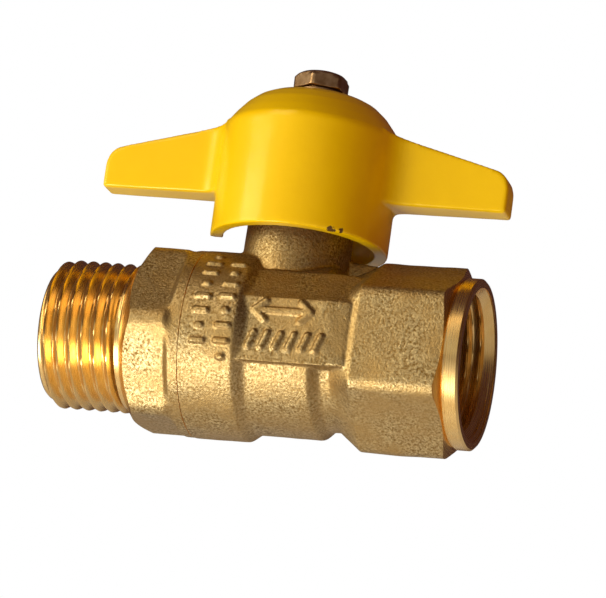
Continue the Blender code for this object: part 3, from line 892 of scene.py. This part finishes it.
def passivated_zinc():
    """Yellow passivated zinc plate: brown gold, uneven in colour, and finely uneven in dullness."""
    made = bpy.data.materials.new("steel_zinc_plated_yellow_passivated")
    made.use_nodes = True
    tree = made.node_tree
    shader = tree.nodes["Principled BSDF"]
    place = add(tree, "TexCoord", {}).outputs["Object"]
    film = add(tree, "TexNoise", {"Vector": place, "Scale": 1 / (1.4 * MM), "Detail": 4.0})
    grain = add(tree, "TexNoise", {"Vector": place, "Scale": 1 / (0.25 * MM), "Detail": 3.0})
    shade = add(tree, "MapRange", {"Value": film.outputs["Fac"], "From Min": 0.35, "From Max": 0.65})
    colour = add(
        tree,
        "Mix",
        {0: shade.outputs[0], 6: linear("#A98358"), 7: linear("#D2B084")},
        data_type="RGBA",
    )
    tree.links.new(colour.outputs[2], shader.inputs["Base Color"])
    shader.inputs["Metallic"].default_value = 1.0
    dull = add(
        tree,
        "MapRange",
        {"Value": grain.outputs["Fac"], "From Min": 0.3, "From Max": 0.7, "To Min": 0.3, "To Max": 0.44},
    )
    tree.links.new(dull.outputs[0], shader.inputs["Roughness"])
    bump = add(tree, "Bump", {"Strength": 0.35, "Distance": 0.02 * MM, "Height": grain.outputs["Fac"]})
    tree.links.new(bump.outputs[0], shader.inputs["Normal"])
    return made


zinc = passivated_zinc()


def head_reach(station, radius, angle):
    return min(radius, hex_reach(HEAD_FLATS, 0.35, angle, HEAD_TURN))


head = [(HEAD_LOW, 3.6), (HEAD_LOW + 0.15, 3.9), (screw_high.z - 1.0, 3.95), (screw_high.z - 0.6, 3.6)]
head += [(screw_high.z - 0.3, 3.15), (screw_high.z - 0.08, 2.5), (screw_high.z, 1.6)]
screw = solid(lathe(bmesh.new(), head, "Z", 96, head_reach), (zinc,))
forge(screw, 0.09, 3)
shank = lathe(bmesh.new(), ((screw_low.z, 1.6), (screw_low.z + 0.4, 2.0), (HEAD_LOW + 0.5, 2.0)), "Z", 48)
combine(screw, solid(shank, (zinc,)), "UNION")
finish_piece(screw, "hexagon_head_screw", "handle_and_stem", "handle_screw", 50)

coil = []
for i in range(49):
    angle = math.radians(7 + 346 * i / 48)
    rise = 0.1 * (i / 48)
    coil.append(
        [
            (r * math.cos(angle), r * math.sin(angle), z)
            for r, z in (
                (2.3, washer_low.z + rise),
                (washer_high.y - 0.01, washer_low.z + rise),
                (washer_high.y - 0.01, washer_high.z - 0.1 + rise),
                (2.3, washer_high.z - 0.1 + rise),
            )
        ]
    )
washer = solid(loft(bmesh.new(), coil), (zinc,))
finish_piece(washer, "spring_washer_wire", "handle_and_stem", "spring_washer")


# ---------------------------------------------------------------------------------------------------
# The studio: a pale floor, far enough below for a view from under the valve, and a wash of light on it.
# Soft panels stand low in front, at the left and above. The surroundings are bright below and dim above.


def floor_finish():
    """Matt white studio paint: no shine, and a barely uneven white."""
    made = bpy.data.materials.new("studio_floor_matt_white")
    made.use_nodes = True
    tree = made.node_tree
    shader = tree.nodes["Principled BSDF"]
    place = add(tree, "TexCoord", {}).outputs["Object"]
    cloud = add(tree, "TexNoise", {"Vector": place, "Scale": 6.0, "Detail": 2.0})
    colour = add(
        tree,
        "Mix",
        {0: cloud.outputs["Fac"], 6: linear("#F2F1EF"), 7: linear("#F7F6F4")},
        data_type="RGBA",
    )
    tree.links.new(colour.outputs[2], shader.inputs["Base Color"])
    shader.inputs["Roughness"].default_value = 0.8
    return made


FLOOR_Z = -0.36
floor = bmesh.new()
bmesh.ops.create_grid(floor, size=6.0, x_segments=1, y_segments=1)
floor_mesh = bpy.data.meshes.new("studio_floor")
floor.to_mesh(floor_mesh)
floor.free()
floor_mesh.materials.append(floor_finish())
floor_object = bpy.data.objects.new("studio_floor", floor_mesh)
floor_object.location.z = FLOOR_Z
bpy.context.scene.collection.objects.link(floor_object)


def panel(name, direction, distance, size, power, tint, aim=(0.0, 0.0, 0.01)):
    """A soft square light, placed from the valve's middle in a direction and aimed at it."""
    light = bpy.data.lights.new(name, "AREA")
    light.size = size
    light.energy = power
    light.color = linear(tint)[:3]
    made = bpy.data.objects.new(name, light)
    bpy.context.scene.collection.objects.link(made)
    target = Vector(aim)
    made.location = target + Vector(direction).normalized() * distance
    made.rotation_euler = (made.location - target).to_track_quat("Z", "Y").to_euler()
    made.visible_camera = False
    return made


panel("low_front_panel", (-0.40, -0.66, -0.64), 0.34, 0.14, 0.75, "#FFFFFF", (-0.012, 0.0, 0.0))
panel("left_panel", (-0.85, -0.6, 0.05), 0.5, 0.26, 1.15, "#FFF6E0")
panel("top_panel", (-0.5, -0.7, 0.62), 0.8, 0.4, 1.3, "#FFECD0", (0.0, 0.0, 0.03))
# The warm fill deepens the yellow coat's shaded side, and isn't mirrored in the metal.
warm_fill = panel("right_warm_panel", (0.95, -0.2, 0.1), 0.5, 0.4, 0.3, "#FF5A14", (0.0, 0.0, 0.02))
warm_fill.visible_glossy = False
# The floor's wash shines straight down, and not at the valve.
floor_wash = panel("floor_wash", (0.0, 0.0, -1.0), 0.2, 4.0, 20.0, "#FFFFFF")
floor_wash.rotation_euler = (0.0, 0.0, 0.0)

world = bpy.data.worlds.new("studio_surroundings")
bpy.context.scene.world = world
world.use_nodes = True
tree = world.node_tree
tree.nodes.clear()
facing = add(tree, "TexCoord", {}).outputs["Generated"]
brightest = Vector((-0.35, -0.6, -0.7)).normalized()
towards = add(tree, "VectorMath", {0: facing, 1: brightest}, operation="DOT_PRODUCT")
share = add(tree, "MapRange", {"Value": towards.outputs["Value"], "From Min": -0.05, "From Max": 0.95})
shade = add(
    tree,
    "Mix",
    {0: share.outputs[0], 6: linear("#4B3333"), 7: linear("#E7E4DC")},
    data_type="RGBA",
)
seen = add(tree, "LightPath", {}).outputs["Is Camera Ray"]
glow = add(tree, "Background", {"Color": shade.outputs[2], "Strength": 1.0})
backdrop = add(tree, "Background", {"Color": (1.0, 1.0, 1.0, 1.0), "Strength": 1.0})
both = add(tree, "MixShader", {0: seen, 1: glow.outputs[0], 2: backdrop.outputs[0]})
add(tree, "OutputWorld", {"Surface": both.outputs[0]})
bpy.context.scene.view_settings.view_transform = "Standard"


# ---------------------------------------------------------------------------------------------------
# The camera: a long lens a little below the valve, looking up at it, and rolled so that the pipe runs
# down to the right.

AZIMUTH, ELEVATION, ROLL = math.radians(16.05), math.radians(-13.2), math.radians(8.1)
DISTANCE = 0.609
LENS = 260.8
CENTRE = (2.67, 7.15)  # the frame's middle, right and up of the origin, in millimetres

away = Vector(
    (
        math.sin(AZIMUTH) * math.cos(ELEVATION),
        -math.cos(AZIMUTH) * math.cos(ELEVATION),
        math.sin(ELEVATION),
    )
)
level = Vector((math.cos(AZIMUTH), math.sin(AZIMUTH), 0.0))
upright = away.cross(level)
right = level * math.cos(ROLL) + upright * math.sin(ROLL)
up = upright * math.cos(ROLL) - level * math.sin(ROLL)
camera_data = bpy.data.cameras.new("camera")
camera_data.sensor_width = 36.0
camera_data.lens = LENS
camera_data.clip_start, camera_data.clip_end = 0.05, 20.0
camera = bpy.data.objects.new("camera", camera_data)
bpy.context.scene.collection.objects.link(camera)
spot = away * DISTANCE
back = (spot - (right * CENTRE[0] + up * CENTRE[1]) * MM).normalized()
side = up.cross(back).normalized()
turn = Matrix((side, back.cross(side), back)).transposed().to_4x4()
camera.matrix_world = Matrix.Translation(spot) @ turn
bpy.context.scene.camera = camera
